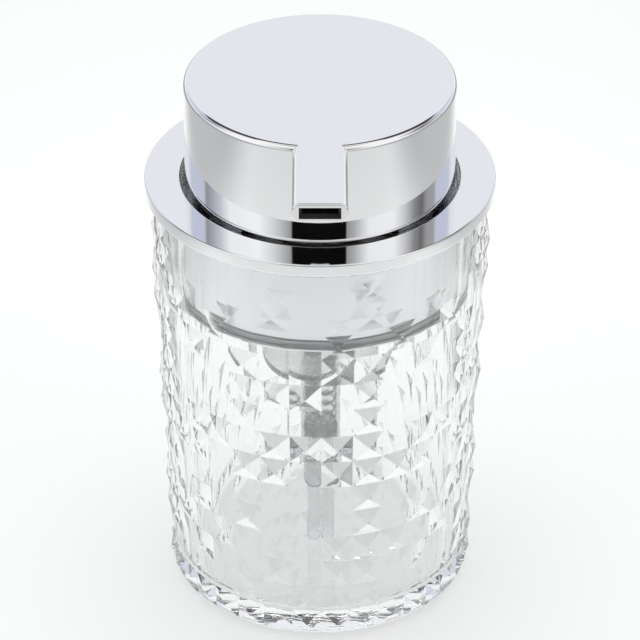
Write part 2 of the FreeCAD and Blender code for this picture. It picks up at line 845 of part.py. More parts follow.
def make_outlet_duct():
    duct = new_body("outlet_duct")
    primitive(duct, "AdditiveBox", "duct_outside",
              {"Length": "mouth_width - 2 * fit_gap", "Height": "mouth_height - 2 * fit_gap",
               "Width": "spout_end - duct_recess + duct_back - fit_gap"},
              ("fit_gap - mouth_width / 2", "duct_recess - spout_end", "mouth_low + fit_gap"))
    primitive(duct, "SubtractiveBox", "duct_inside",
              {"Length": "mouth_width - 2 * fit_gap - 2 * duct_wall",
               "Height": "mouth_height - 2 * fit_gap - 2 * duct_wall",
               "Width": "spout_end - fit_gap + duct_back - duct_wall"},
              ("fit_gap + duct_wall - mouth_width / 2", "-spout_end",
               "mouth_low + fit_gap + duct_wall"))
    primitive(duct, "SubtractiveCylinder", "duct_inlet",
              {"Radius": "core_bore", "Height": "duct_wall * 2"},
              ("0", "0", "mouth_low + fit_gap - duct_wall"))
    keep(duct, "outlet_duct")


def make_button_core():
    core = turned("button_core", [
        ("core_bore", "mouth_low"),
        ("core_bore", "mesh_top + fit_gap"),
        ("stem_outer + fit_gap", "mesh_top + fit_gap"),
        ("stem_outer + fit_gap", "core_low"),
        ("socket_radius", "core_low"),
        ("socket_radius", "core_disc_low"),
        ("core_radius - core_rim", "core_disc_low"),
        ("core_radius - core_rim", "core_rim_low"),
        ("core_radius", "core_rim_low"),
        ("core_radius", "crown_under"),
        ("core_radius - core_rim", "crown_under"),
        ("core_radius - core_rim", "mouth_low"),
    ])
    primitive(core, "SubtractiveBox", "duct_gap",
              {"Length": "mouth_width", "Width": "3 * core_rim", "Height": "mouth_height"},
              ("-mouth_width / 2", "-core_radius - core_rim", "mouth_low"))
    rib = primitive(core, "AdditiveBox", "core_rib",
                    {"Length": "core_radius - socket_radius - core_rim / 2",
                     "Width": "core_rib", "Height": "core_rim_depth / 2"},
                    ("socket_radius - fit_gap", "-core_rib / 2",
                     "core_disc_low + fit_gap - core_rim_depth / 2"))
    pattern(core, rib, "core_ribs")


# ---------------------------------------------------------------------- the whole pump

make_bottle()
make_lid_cover()
make_lid_cup()
make_lid_seal()
make_housing_gasket()
make_pump_housing()
make_guide_cap()
make_ball_cage()
make_dip_tube()
make_ball("suction_ball", "throat_top")
make_return_spring()
make_air_piston()
make_air_valve()
make_liquid_piston()
make_ball("discharge_ball", "outlet_seat")
make_piston_stem()
make_mesh_cartridge()
make_mesh("lower_mesh", "mesh_low + mesh_seat - mesh_sheet")
make_mesh("upper_mesh", "mesh_top - mesh_seat")
make_button_shell()
make_outlet_duct()
make_button_core()
doc.recompute()

for item in doc.Objects:
    if "Invalid" in item.State or "Error" in item.State:
        raise RuntimeError("%s did not build: %s" % (item.Label, item.State))
for piece in PIECES:
    if piece.Shape.isNull() or not piece.Shape.isValid() or not piece.Shape.Solids:
        raise RuntimeError("%s has no sound solid" % piece.Label)

os.makedirs("parts", exist_ok=True)
for piece in PIECES:
    piece.Shape.exportStep("parts/%s.step" % piece.Label)
    print("%-16s %10.2f mm3" % (piece.Label, piece.Shape.Volume))
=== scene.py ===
import math

import bmesh
import bpy
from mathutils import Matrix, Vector


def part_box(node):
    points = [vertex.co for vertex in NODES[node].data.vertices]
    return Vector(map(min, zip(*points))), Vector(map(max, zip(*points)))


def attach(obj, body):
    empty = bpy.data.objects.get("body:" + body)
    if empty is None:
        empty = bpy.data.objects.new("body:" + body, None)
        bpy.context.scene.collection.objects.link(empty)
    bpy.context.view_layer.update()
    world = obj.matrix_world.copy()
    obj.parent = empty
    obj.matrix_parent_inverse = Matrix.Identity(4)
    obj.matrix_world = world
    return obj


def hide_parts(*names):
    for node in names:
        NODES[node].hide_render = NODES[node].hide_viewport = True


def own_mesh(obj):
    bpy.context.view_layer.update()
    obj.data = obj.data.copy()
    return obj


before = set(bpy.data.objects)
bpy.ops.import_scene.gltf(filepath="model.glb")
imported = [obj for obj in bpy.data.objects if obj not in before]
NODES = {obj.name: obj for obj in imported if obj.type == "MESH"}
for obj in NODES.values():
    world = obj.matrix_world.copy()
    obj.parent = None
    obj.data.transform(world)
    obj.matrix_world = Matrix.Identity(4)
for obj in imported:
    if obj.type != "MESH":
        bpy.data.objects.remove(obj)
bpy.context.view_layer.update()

MM = 0.001
scene = bpy.context.scene

# ------------------------------------------------------------------ sizes from the frame

bottle_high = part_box("bottle")[1]
cover_low, cover_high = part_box("lid_cover")
shell_low, shell_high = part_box("button_shell")
core_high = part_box("button_core")[1]
duct_low, duct_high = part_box("outlet_duct")
spring_low, spring_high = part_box("return_spring")

# the bottle's facets
COLUMNS = 32
ROW_HEIGHT = 7.0 * MM
BASE_BAND = 1.0 * MM
BASE_RADIUS = 33.78 * MM
SIDE_DRAFT = 0.0385
PYRAMID_HEIGHT = 1.1 * MM
PATTERN_TURN = math.radians(0.5)
BASE_ROUNDING = 4.0 * MM
BASE_SPREAD = 0.62 * MM
GLASS_WALL = 2.66 * MM
FLOOR_THICKNESS = 5.0 * MM
FLOOR_ROUNDING = 4.0 * MM
RIM_ROUNDING = 0.6 * MM
NECK_HEIGHT = 1.9 * MM
FACET_EDGE = 0.2 * MM
FACET_EDGE_ANGLE = 8.0       # degrees; flatter edges stay sharp

# the lid's cover
LID_THICKNESS = 1.8 * MM
LID_ROUNDING = 0.4 * MM
LIP_WALL = 1.5 * MM
LIP_DROP = 1.25 * MM         # lip below the cover's plate
NECK_CLEARANCE = 0.4 * MM
BUTTON_GAP = 1.1 * MM
COLLAR_WALL = 0.85 * MM
HOLE_ROUNDING = 0.5 * MM

# the button and its spout
BUTTON_WALL = 1.5 * MM
BUTTON_ROUNDING = 1.3 * MM
SPOUT_WIDTH = 11.9 * MM
SPOUT_HEIGHT = 4.6 * MM
SPOUT_CORNER = 1.7 * MM
SPOUT_ROUNDING = 0.4 * MM
SPOUT_FLAT = 4.25 * MM       # half the flat part of the spout's top
FIT_GAP = 0.05 * MM

# the return spring
SPRING_WIRE = 0.35 * MM      # radius of the wire
SPRING_TURNS = 8.0

# Raised pyramids, one line for each row from the top down, one mark for each column
# from 90 degrees left of the spout to 90 degrees right of it. The back repeats it.
PYRAMIDS = [
    ".#.......#....#.",
    ".#....#..#....##",
    "#.#.#...#.#.#..#",
    "##.#.#..##.#.#..",
    ".#...###.#...#.#",
    ".#...#...#...##.",
    "##.##.####.##..#",
    "####.##.####.##.",
    ".#.......#....#.",
    "...#.#...#.#.#.#",
    "###.#...###.#..#",
    "##.#..#.##.#..#.",
    ".....#.#.#....##",
    "##.###.######.##",
]

ROUND = 192                  # segments round a turned piece
FINE_ROUND = 256             # the same for the large chrome pieces
PLASTIC_EDGE = 0.12 * MM     # bevel on the moulded pieces


# ------------------------------------------------------------------------- material help


def new_material(name, color, roughness, metallic=0.0):
    """A node material and its shader: every finish below builds on this."""
    made = bpy.data.materials.new(name)
    made.use_nodes = True
    shader = made.node_tree.nodes["Principled BSDF"]
    shader.inputs["Base Color"].default_value = (*color, 1.0)
    shader.inputs["Roughness"].default_value = roughness
    shader.inputs["Metallic"].default_value = metallic
    return made, made.node_tree, shader


def noise(tree, scale, detail=3.0, stretch=(1.0, 1.0, 1.0)):
    """Noise in the object's own space, at so many waves to the metre."""
    place = tree.nodes.new("ShaderNodeTexCoord")
    mapping = tree.nodes.new("ShaderNodeMapping")
    mapping.inputs["Scale"].default_value = stretch
    texture = tree.nodes.new("ShaderNodeTexNoise")
    texture.inputs["Scale"].default_value = scale
    texture.inputs["Detail"].default_value = detail
    tree.links.new(place.outputs["Object"], mapping.inputs["Vector"])
    tree.links.new(mapping.outputs["Vector"], texture.inputs["Vector"])
    return texture


def spread(tree, texture, low, high, target, start=0.35, stop=0.65):
    """Feed a noise to a shader input as values from low to high."""
    ranged = tree.nodes.new("ShaderNodeMapRange")
    ranged.inputs["From Min"].default_value = start
    ranged.inputs["From Max"].default_value = stop
    ranged.inputs["To Min"].default_value = low
    ranged.inputs["To Max"].default_value = high
    tree.links.new(texture.outputs["Fac"], ranged.inputs["Value"])
    tree.links.new(ranged.outputs["Result"], target)


def tint(tree, texture, dark, light, target):
    """Feed a noise to a colour input as a mix of two colours."""
    ramp = tree.nodes.new("ShaderNodeValToRGB")
    ramp.color_ramp.elements[0].position = 0.35
    ramp.color_ramp.elements[1].position = 0.65
    ramp.color_ramp.elements[0].color = (*dark, 1.0)
    ramp.color_ramp.elements[1].color = (*light, 1.0)
    tree.links.new(texture.outputs["Fac"], ramp.inputs["Fac"])
    tree.links.new(ramp.outputs["Color"], target)


def relief(tree, shader, texture, strength, depth):
    """A fine bump of so many metres."""
    bump = tree.nodes.new("ShaderNodeBump")
    bump.inputs["Strength"].default_value = strength
    bump.inputs["Distance"].default_value = depth
    tree.links.new(texture.outputs["Fac"], bump.inputs["Height"])
    tree.links.new(bump.outputs["Normal"], shader.inputs["Normal"])


# ----------------------------------------------------------------------------- materials


def chrome_finish(name, smooth, dull):
    made, tree, shader = new_material(name, (0.9, 0.905, 0.915), smooth, 1.0)
    tint(tree, noise(tree, 20.0), (0.895, 0.9, 0.91), (0.905, 0.91, 0.92),
         shader.inputs["Base Color"])
    spread(tree, noise(tree, 60.0, 5.0), smooth, dull, shader.inputs["Roughness"])
    return made


def glass_finish():
    made, tree, shader = new_material("clear_glass", (1.0, 1.0, 1.0), 0.0)
    shader.inputs["Transmission Weight"].default_value = 1.0
    shader.inputs["IOR"].default_value = 1.57
    tint(tree, noise(tree, 12.0), (0.98, 0.985, 0.985), (0.99, 0.995, 0.995),
         shader.inputs["Base Color"])
    spread(tree, noise(tree, 90.0), 0.0, 0.02, shader.inputs["Roughness"])
    return made


def moulded_finish(name, dark, light, roughness, soft=0.0):
    """Moulded plastic: a faint cloudiness, a faint grain and a little light inside."""
    made, tree, shader = new_material(name, light, roughness)
    tint(tree, noise(tree, 45.0), dark, light, shader.inputs["Base Color"])
    spread(tree, noise(tree, 300.0, 4.0), roughness - 0.06, roughness + 0.06,
           shader.inputs["Roughness"])
    relief(tree, shader, noise(tree, 2500.0, 2.0), 0.15, 0.00004)
    shader.inputs["Subsurface Weight"].default_value = soft
    shader.inputs["Subsurface Radius"].default_value = (0.003, 0.003, 0.003)
    return made


def clear_plastic_finish(name, color, roughness, ior, clear):
    made, tree, shader = new_material(name, color, roughness)
    shader.inputs["Transmission Weight"].default_value = clear
    shader.inputs["IOR"].default_value = ior
    tint(tree, noise(tree, 60.0), tuple(0.96 * part for part in color), color,
         shader.inputs["Base Color"])
    spread(tree, noise(tree, 200.0), roughness, roughness + 0.08, shader.inputs["Roughness"])
    return made


def steel_finish():
    made, tree, shader = new_material("spring_steel", (0.62, 0.62, 0.64), 0.25, 1.0)
    tint(tree, noise(tree, 400.0, 3.0, (1.0, 1.0, 6.0)), (0.55, 0.55, 0.57),
         (0.68, 0.68, 0.7), shader.inputs["Base Color"])
    spread(tree, noise(tree, 900.0), 0.18, 0.34, shader.inputs["Roughness"])
    return made


def woven_finish():
    """Fine nylon gauze: a faint noise tint and a fine noise bump, with no threads drawn."""
    made, tree, shader = new_material("nylon_gauze", (0.9, 0.9, 0.88), 0.6)
    tint(tree, noise(tree, 800.0), (0.82, 0.82, 0.8), (0.93, 0.93, 0.91),
         shader.inputs["Base Color"])
    relief(tree, shader, noise(tree, 6000.0, 1.0), 0.5, 0.0001)
    return made


CHROME = chrome_finish("bright_chrome", 0.015, 0.03)
GLASS = glass_finish()
SATIN = chrome_finish("satin_chrome", 0.16, 0.22)
WHITE = clear_plastic_finish("white_plastic", (0.98, 0.98, 0.975), 0.35, 1.25, 0.8)
MILKY = clear_plastic_finish("milky_plastic", (0.99, 0.99, 0.99), 0.22, 1.25, 0.95)
DARK = moulded_finish("dark_plastic", (0.012, 0.010, 0.010), (0.022, 0.018, 0.018), 0.45)
RUBBER = moulded_finish("white_rubber", (0.70, 0.70, 0.69), (0.76, 0.76, 0.75), 0.7)
SILICONE = clear_plastic_finish("clear_silicone", (0.95, 0.96, 0.97), 0.15, 1.41, 0.8)
TUBE = clear_plastic_finish("clear_tube", (0.98, 0.985, 0.99), 0.06, 1.5, 0.95)
STEEL = steel_finish()
GAUZE = woven_finish()

CAD_FINISHES = {
    "lid_cup": SATIN, "lid_seal": SILICONE, "housing_gasket": RUBBER,
    "pump_housing": MILKY, "guide_cap": WHITE, "ball_cage": WHITE, "dip_tube": TUBE,
    "suction_ball": STEEL, "discharge_ball": STEEL, "air_piston": WHITE,
    "air_valve": RUBBER, "liquid_piston": WHITE, "piston_stem": WHITE,
    "mesh_cartridge": WHITE, "lower_mesh": GAUZE, "upper_mesh": GAUZE,
    "outlet_duct": DARK, "button_core": WHITE,
}


# ------------------------------------------------------------------------- shape helpers


def finished(name, mesh, finish, body, node):
    """Link a mesh as a piece: its material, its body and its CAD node."""
    piece = bpy.data.objects.new(name, mesh)
    scene.collection.objects.link(piece)
    mesh.materials.clear()
    mesh.materials.append(finish)
    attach(piece, body)
    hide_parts(node)
    return piece


def arc(centre, radius, begin, end, steps):
    """Points of an arc in the (radius, height) plane, angles in degrees."""
    points = []
    for step in range(steps + 1):
        angle = math.radians(begin + (end - begin) * step / steps)
        points.append((centre[0] + radius * math.cos(angle),
                       centre[1] + radius * math.sin(angle)))
    return points


def rounded(corners, steps=8):
    """A closed outline from (radius, height, rounding) corners."""
    points = []
    count = len(corners)
    for index, (x, z, size) in enumerate(corners):
        here = Vector((x, z))
        if size <= 0:
            points.append((x, z))
            continue
        before = (Vector(corners[index - 1][:2]) - here).normalized()
        after = (Vector(corners[(index + 1) % count][:2]) - here).normalized()
        half = before.angle(after) / 2
        reach = size / math.tan(half)
        middle = here + (before + after).normalized() * (size / math.sin(half))
        first = here + before * reach - middle
        last = here + after * reach - middle
        begin = math.atan2(first.y, first.x)
        turn = math.remainder(math.atan2(last.y, last.x) - begin, 2 * math.pi)
        for step in range(steps + 1):
            angle = begin + turn * step / steps
            points.append((middle.x + size * math.cos(angle), middle.y + size * math.sin(angle)))
    return points


def lathe(name, outline, around=ROUND, closed=True, wobble=None):
    """Turn an outline about the vertical axis. Points at radius 0 become one vertex."""
    mesh = bpy.data.meshes.new(name)
    shape = bmesh.new()
    rings = []
    for x, z in outline:
        if x < 1e-9:
            rings.append([shape.verts.new((0.0, 0.0, z))])
            continue
        ring = []
        for step in range(around):
            angle = 2 * math.pi * step / around
            radius = x + (wobble(angle, z) if wobble else 0.0)
            ring.append(shape.verts.new((radius * math.cos(angle), radius * math.sin(angle), z)))
        rings.append(ring)
    pairs = list(zip(rings, rings[1:])) + ([(rings[-1], rings[0])] if closed else [])
    for low, high in pairs:
        if len(low) == 1 and len(high) == 1:
            continue
        for step in range(around):
            after = (step + 1) % around
            if len(low) == 1:
                shape.faces.new((low[0], high[after], high[step]))
            elif len(high) == 1:
                shape.faces.new((low[step], low[after], high[0]))
            else:
                shape.faces.new((low[step], low[after], high[after], high[step]))
    bmesh.ops.recalc_face_normals(shape, faces=shape.faces)
    for face in shape.faces:
        face.smooth = True
    shape.to_mesh(mesh)
    shape.free()
    return mesh


def solid_object(name, mesh):
    made = bpy.data.objects.new(name, mesh)
    scene.collection.objects.link(made)
    return made


def combine(name, base, steps):
    """Exact booleans on a base object, one for each (operation, tool), as a new mesh."""
    for operation, tool in steps:
        cut = base.modifiers.new(operation.lower(), "BOOLEAN")
        cut.operation = operation
        cut.solver = "EXACT"
        cut.object = tool
    bpy.context.view_layer.update()
    seen = base.evaluated_get(bpy.context.evaluated_depsgraph_get())
    mesh = bpy.data.meshes.new_from_object(seen)
    mesh.name = name
    for made in [base] + [tool for operation, tool in steps]:
        bpy.data.objects.remove(made)
    return mesh


def weld(mesh, distance=1e-7):
    shape = bmesh.new()
    shape.from_mesh(mesh)
    bmesh.ops.remove_doubles(shape, verts=shape.verts, dist=distance)
    bmesh.ops.recalc_face_normals(shape, faces=shape.faces)
    shape.to_mesh(mesh)
    shape.free()


def soften(piece, width, angle=30.0, segments=2):
    """Round the sharp edges of a piece a little and shade it evenly."""
    bevel = piece.modifiers.new("edge", "BEVEL")
    bevel.width = width
    bevel.segments = segments
    bevel.limit_method = "ANGLE"
    bevel.angle_limit = math.radians(angle)
    bevel.use_clamp_overlap = True
    even = piece.modifiers.new("even", "WEIGHTED_NORMAL")
    even.weight = 100
    even.keep_sharp = True


# ---------------------------------------------------------------------------- the bottle


def column_point(column, level):
    angle = PATTERN_TURN + column * 2 * math.pi / COLUMNS
    radius = BASE_RADIUS + SIDE_DRAFT * level
    return Vector((radius * math.sin(angle), -radius * math.cos(angle), level))


def facet_mesh():
    """The many-sided outside, closed top and bottom."""
    shoulder = bottle_high.z - NECK_HEIGHT
    rows = len(PYRAMIDS)
    half = len(PYRAMIDS[0])
    levels = [0.0] + [BASE_BAND + ROW_HEIGHT * row for row in range(rows + 1)] + [shoulder]
    shape = bmesh.new()
    rings = [[shape.verts.new(column_point(column, level)) for column in range(COLUMNS)]
             for level in levels]
    for band in range(len(levels) - 1):
        marks = PYRAMIDS[rows - band] if 1 <= band <= rows else ""
        for column in range(COLUMNS):
            after = (column + 1) % COLUMNS
            corners = [rings[band][column], rings[band][after],
                       rings[band + 1][after], rings[band + 1][column]]
            if not marks or marks[(column + half // 2) % half] != "#":
                shape.faces.new(corners)
                continue
            places = [corner.co for corner in corners]
            outward = (places[1] - places[0]).cross(places[3] - places[0]).normalized()
            tip = shape.verts.new(sum(places, Vector()) / 4 + outward * PYRAMID_HEIGHT)
            for index in range(4):
                shape.faces.new((corners[index], corners[(index + 1) % 4], tip))
    shape.faces.new(rings[0])
    shape.faces.new(rings[-1])
    bmesh.ops.recalc_face_normals(shape, faces=shape.faces)
    mesh = bpy.data.meshes.new("facets")
    shape.to_mesh(mesh)
    shape.free()
    return mesh


def inner_ripple(angle, level):
    """The slight unevenness that a moulded inner wall has."""
    return 0.03 * MM * (math.sin(3 * angle + 90 * level) * math.sin(170 * level + 1.0)
                        + 0.6 * math.sin(7 * angle + 310 * level))


def make_bottle():
    share = math.cos(math.pi / COLUMNS)
    shoulder = bottle_high.z - NECK_HEIGHT
    wide = bottle_high.x + 2 * PYRAMID_HEIGHT
    foot = BASE_RADIUS + BASE_SPREAD
    form = ([(0.0, 0.0)]
            + arc((foot - BASE_ROUNDING, BASE_ROUNDING), BASE_ROUNDING, -90, 0, 14)
            + [(wide, BASE_BAND + ROW_HEIGHT), (wide, bottle_high.z), (0.0, bottle_high.z)])
    neck_radius = cover_high.x - (LIP_WALL + NECK_CLEARANCE)
    neck = rounded([(BASE_RADIUS - 4 * MM, shoulder - NECK_HEIGHT, 0.0),
                    (neck_radius, shoulder - NECK_HEIGHT, 0.0),
                    (neck_radius, bottle_high.z, RIM_ROUNDING),
                    (BASE_RADIUS - 4 * MM, bottle_high.z, 0.0)], 5)

    def inner_radius(level):
        return (BASE_RADIUS + SIDE_DRAFT * level) * share - GLASS_WALL

    floor_radius = inner_radius(FLOOR_THICKNESS)
    cavity = [(0.0, FLOOR_THICKNESS)]
    cavity += arc((floor_radius - FLOOR_ROUNDING, FLOOR_THICKNESS + FLOOR_ROUNDING),
                  FLOOR_ROUNDING, -90, 0, 10)
    walls = 36
    first = FLOOR_THICKNESS + FLOOR_ROUNDING
    last = bottle_high.z - RIM_ROUNDING
    for step in range(1, walls + 1):
        level = first + (last - first) * step / walls
        cavity.append((inner_radius(level), level))
    above = bottle_high.z + NECK_HEIGHT
    mouth = inner_radius(last) + RIM_ROUNDING
    cavity += [(mouth, bottle_high.z), (mouth, above), (0.0, above)]

    mesh = combine("bottle_glass", solid_object("facets", facet_mesh()), [
        ("INTERSECT", solid_object("base_form", lathe("base_form", form))),
        ("UNION", solid_object("neck_form", lathe("neck_form", neck))),
        ("DIFFERENCE", solid_object("cavity_form", lathe("cavity_form", cavity,
                                                         wobble=inner_ripple))),
    ])
    weld(mesh)
    piece = finished("bottle_glass", mesh, GLASS, "bottle", "bottle")
    bevel = piece.modifiers.new("edge", "BEVEL")
    bevel.width = FACET_EDGE
    bevel.segments = 2
    bevel.limit_method = "ANGLE"
    bevel.angle_limit = math.radians(FACET_EDGE_ANGLE)
    return piece


# --------------------------------------------------------------------- the chrome pieces


def make_lid_cover():
    """The flat ring, its lip over the bottle's neck and the collar round the button."""
    hole = shell_high.x + BUTTON_GAP
    collar = hole + COLLAR_WALL
    lip = cover_high.x - LIP_WALL
    under = cover_high.z - LID_THICKNESS
    lip_low = under - LIP_DROP
    outline = rounded([
        (hole, cover_high.z, HOLE_ROUNDING),
        (hole, cover_low.z, 0.2 * MM),
        (collar, cover_low.z, 0.2 * MM),
        (collar, under, 0.0),
        (lip, under, 0.2 * MM),
        (lip, lip_low, 0.3 * MM),
        (cover_high.x, lip_low, 0.5 * MM),
        (cover_high.x, cover_high.z, LID_ROUNDING),
    ], 8)
    piece = finished("lid_plate", lathe("lid_plate", outline, FINE_ROUND), CHROME,
                     "lid", "lid_cover")
    even = piece.modifiers.new("even", "WEIGHTED_NORMAL")
    even.weight = 100
    return piece


def spout_bar(width, low, high, corner, start, end, rounding):
    """A round-cornered bar along Y whose outer end is softly rounded."""
    steps = 8
    shape = bmesh.new()
    centres = [(width / 2 - corner, low + corner, -90), (width / 2 - corner, high - corner, 0),
               (corner - width / 2, high - corner, 90), (corner - width / 2, low + corner, 180)]
    section = []
    for x, z, begin in centres:
        section += arc((x, z), corner, begin, begin + 90, steps)
    rings = []
    stations = [(start, 0.0), (end + rounding, 0.0)]
    for step in range(1, 6):
        angle = math.radians(90 * step / 5)
        stations.append((end + rounding * (1 - math.sin(angle)),
                         rounding * (1 - math.cos(angle))))
    for place, inset in stations:
        ring = []
        for index, (x, z) in enumerate(section):
            cx, cz, begin = centres[index // (steps + 1)]
            keep = (corner - inset) / corner
            ring.append(shape.verts.new((cx + (x - cx) * keep, place, cz + (z - cz) * keep)))
        rings.append(ring)
    count = len(section)
    for near, far in zip(rings, rings[1:]):
        for index in range(count):
            after = (index + 1) % count
            shape.faces.new((near[index], near[after], far[after], far[index]))
    shape.faces.new(rings[0])
    shape.faces.new(rings[-1])
    bmesh.ops.recalc_face_normals(shape, faces=shape.faces)
    for face in shape.faces:
        face.smooth = True
    mesh = bpy.data.meshes.new("spout_bar")
    shape.to_mesh(mesh)
    shape.free()
    return mesh


def block(name, low, high):
    shape = bmesh.new()
    bmesh.ops.create_cube(shape, size=1.0)
    for vertex in shape.verts:
        for axis in range(3):
            vertex.co[axis] = low[axis] if vertex.co[axis] < 0 else high[axis]
    mesh = bpy.data.meshes.new(name)
    shape.to_mesh(mesh)
    shape.free()
    return solid_object(name, mesh)


def make_button_shell():
    """The turned cup, the flat spout joined to it and the mouth cut through both."""
    radius = shell_high.x
    crown = shell_high.z
    crown_under = core_high.z
    outline = rounded([
        (0.0, crown, 0.0),
        (0.0, crown_under, 0.0),
        (radius - BUTTON_WALL, crown_under, 0.4 * MM),
        (radius - BUTTON_WALL, shell_low.z, 0.3 * MM),
        (radius, shell_low.z, 0.3 * MM),
        (radius, crown, BUTTON_ROUNDING),
    ], 12)
    mouth_half = duct_high.x + FIT_GAP
    start = -math.sqrt((radius - BUTTON_ROUNDING) ** 2 - SPOUT_FLAT ** 2) + FIT_GAP
    bar = spout_bar(SPOUT_WIDTH, crown - SPOUT_HEIGHT, crown, SPOUT_CORNER, start,
                    shell_low.y, SPOUT_ROUNDING)
    mouth = block("mouth", (-mouth_half, shell_low.y - BUTTON_WALL, duct_low.z - FIT_GAP),
                  (mouth_half, duct_high.y + FIT_GAP, duct_high.z + FIT_GAP))
    cup = solid_object("cup", lathe("cup", outline, FINE_ROUND))
    mesh = combine("button_shell_skin", cup, [
        ("UNION", solid_object("bar", bar)),
        ("DIFFERENCE", mouth),
    ])
    weld(mesh)
    piece = finished("button_shell_skin", mesh, CHROME, "head", "button_shell")
    soften(piece, PLASTIC_EDGE, 35.0)
    return piece


# ------------------------------------------------------------------------ inside the pump


def make_spring():
    """The coil in the barrel: one even helix of round wire."""
    radius = spring_high.x - SPRING_WIRE
    around, section = 40, 10
    low, high = spring_low.z + SPRING_WIRE, spring_high.z - SPRING_WIRE
    shape = bmesh.new()
    rings = []
    steps = int(SPRING_TURNS * around)
    for step in range(steps + 1):
        share = step / steps
        angle = 2 * math.pi * SPRING_TURNS * share
        level = low + (high - low) * share
        ring = []
        for index in range(section):
            spot = 2 * math.pi * index / section
            out = radius + SPRING_WIRE * math.cos(spot)
            ring.append(shape.verts.new((out * math.cos(angle), out * math.sin(angle),
                                         level + SPRING_WIRE * math.sin(spot))))
        rings.append(ring)
    for near, far in zip(rings, rings[1:]):
        for index in range(section):
            after = (index + 1) % section
            shape.faces.new((near[index], near[after], far[after], far[index]))
    shape.faces.new(rings[0])
    shape.faces.new(rings[-1])
    bmesh.ops.recalc_face_normals(shape, faces=shape.faces)
    for face in shape.faces:
        face.smooth = True
    mesh = bpy.data.meshes.new("spring_coil")
    shape.to_mesh(mesh)
    shape.free()
    piece = finished("spring_coil", mesh, STEEL, "spring", "return_spring")
    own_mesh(piece)
    return piece


def dress_cad_nodes():
    for name, finish in CAD_FINISHES.items():
        node = NODES[name]
        node.data.materials.clear()
        node.data.materials.append(finish)
        for face in node.data.polygons:
            face.use_smooth = True
        soften(node, PLASTIC_EDGE, 40.0)


# -------------------------------------------------------------------------- the surround

FLOOR_RADIUS = 6.0
FLOOR_DROP = 0.0002          # floor below the bottle's foot
FLOOR_GREY = (0.36, 0.36, 0.36)
# centre and reach of the painted glow on the floor, brightest under the bottle where a shadow
# would fall
PAINTED_GLOW_CENTRE = (0.0, 0.1)
PAINTED_GLOW_REACH = (0.6, 0.6)
PAINTED_POOL_WIDTH = 0.25            # from the middle to the painted shade on the floor at the sides
PAINTED_POOL_BACK = 0.12             # the painted bright strip narrows no further than this behind
PAINTED_POOL_LEAN = 0.4              # how fast it narrows towards the back
LAVENDER = (0.86, 0.86, 0.91)
BLUISH = (0.60, 0.64, 0.76)
SKY_TURN = 0.8               # degrees that the light tent is turned to the left
LAMP_PLACE = (0.0, 0.12, 0.75)
LAMP_SIZE = 0.5
LAMP_POWER = 2.6             # watts
CAMERA_DISTANCE = 1.0
CAMERA_ELEVATION = 0.574     # radians above the table
CAMERA_TARGET = Vector((0.0, 0.0, 64.7 * MM))
FOCAL_PIXELS = 4410.0        # focal length in pixels of the picture
PICTURE_WIDTH = 640.0

def math_node(tree, operation, first, second=None):
    """One sum on outputs or numbers; gives its output."""
    node = tree.nodes.new("ShaderNodeMath")
    node.operation = operation
    for index, given in enumerate((first, second)):
        if given is None:
            continue
        if isinstance(given, (int, float)):
            node.inputs[index].default_value = given
        else:
            tree.links.new(given, node.inputs[index])
    return node.outputs["Value"]


def glow(tree, centre, reach, stops):
    """Brightness that falls off from a centre over an oval reach, as a ramp's output."""
    place = tree.nodes.new("ShaderNodeTexCoord")
    mapping = tree.nodes.new("ShaderNodeMapping")
    mapping.vector_type = "TEXTURE"
    mapping.inputs["Location"].default_value = (*centre, 0.0)
    mapping.inputs["Scale"].default_value = (*reach, 1.0)
    sphere = tree.nodes.new("ShaderNodeTexGradient")
    sphere.gradient_type = "SPHERICAL"
    ramp = tree.nodes.new("ShaderNodeValToRGB")
    ramp_stops(ramp, stops)
    tree.links.new(place.outputs["Object"], mapping.inputs["Vector"])
    tree.links.new(mapping.outputs["Vector"], sphere.inputs["Vector"])
    tree.links.new(sphere.outputs["Fac"], ramp.inputs["Fac"])
    return ramp.outputs["Color"]


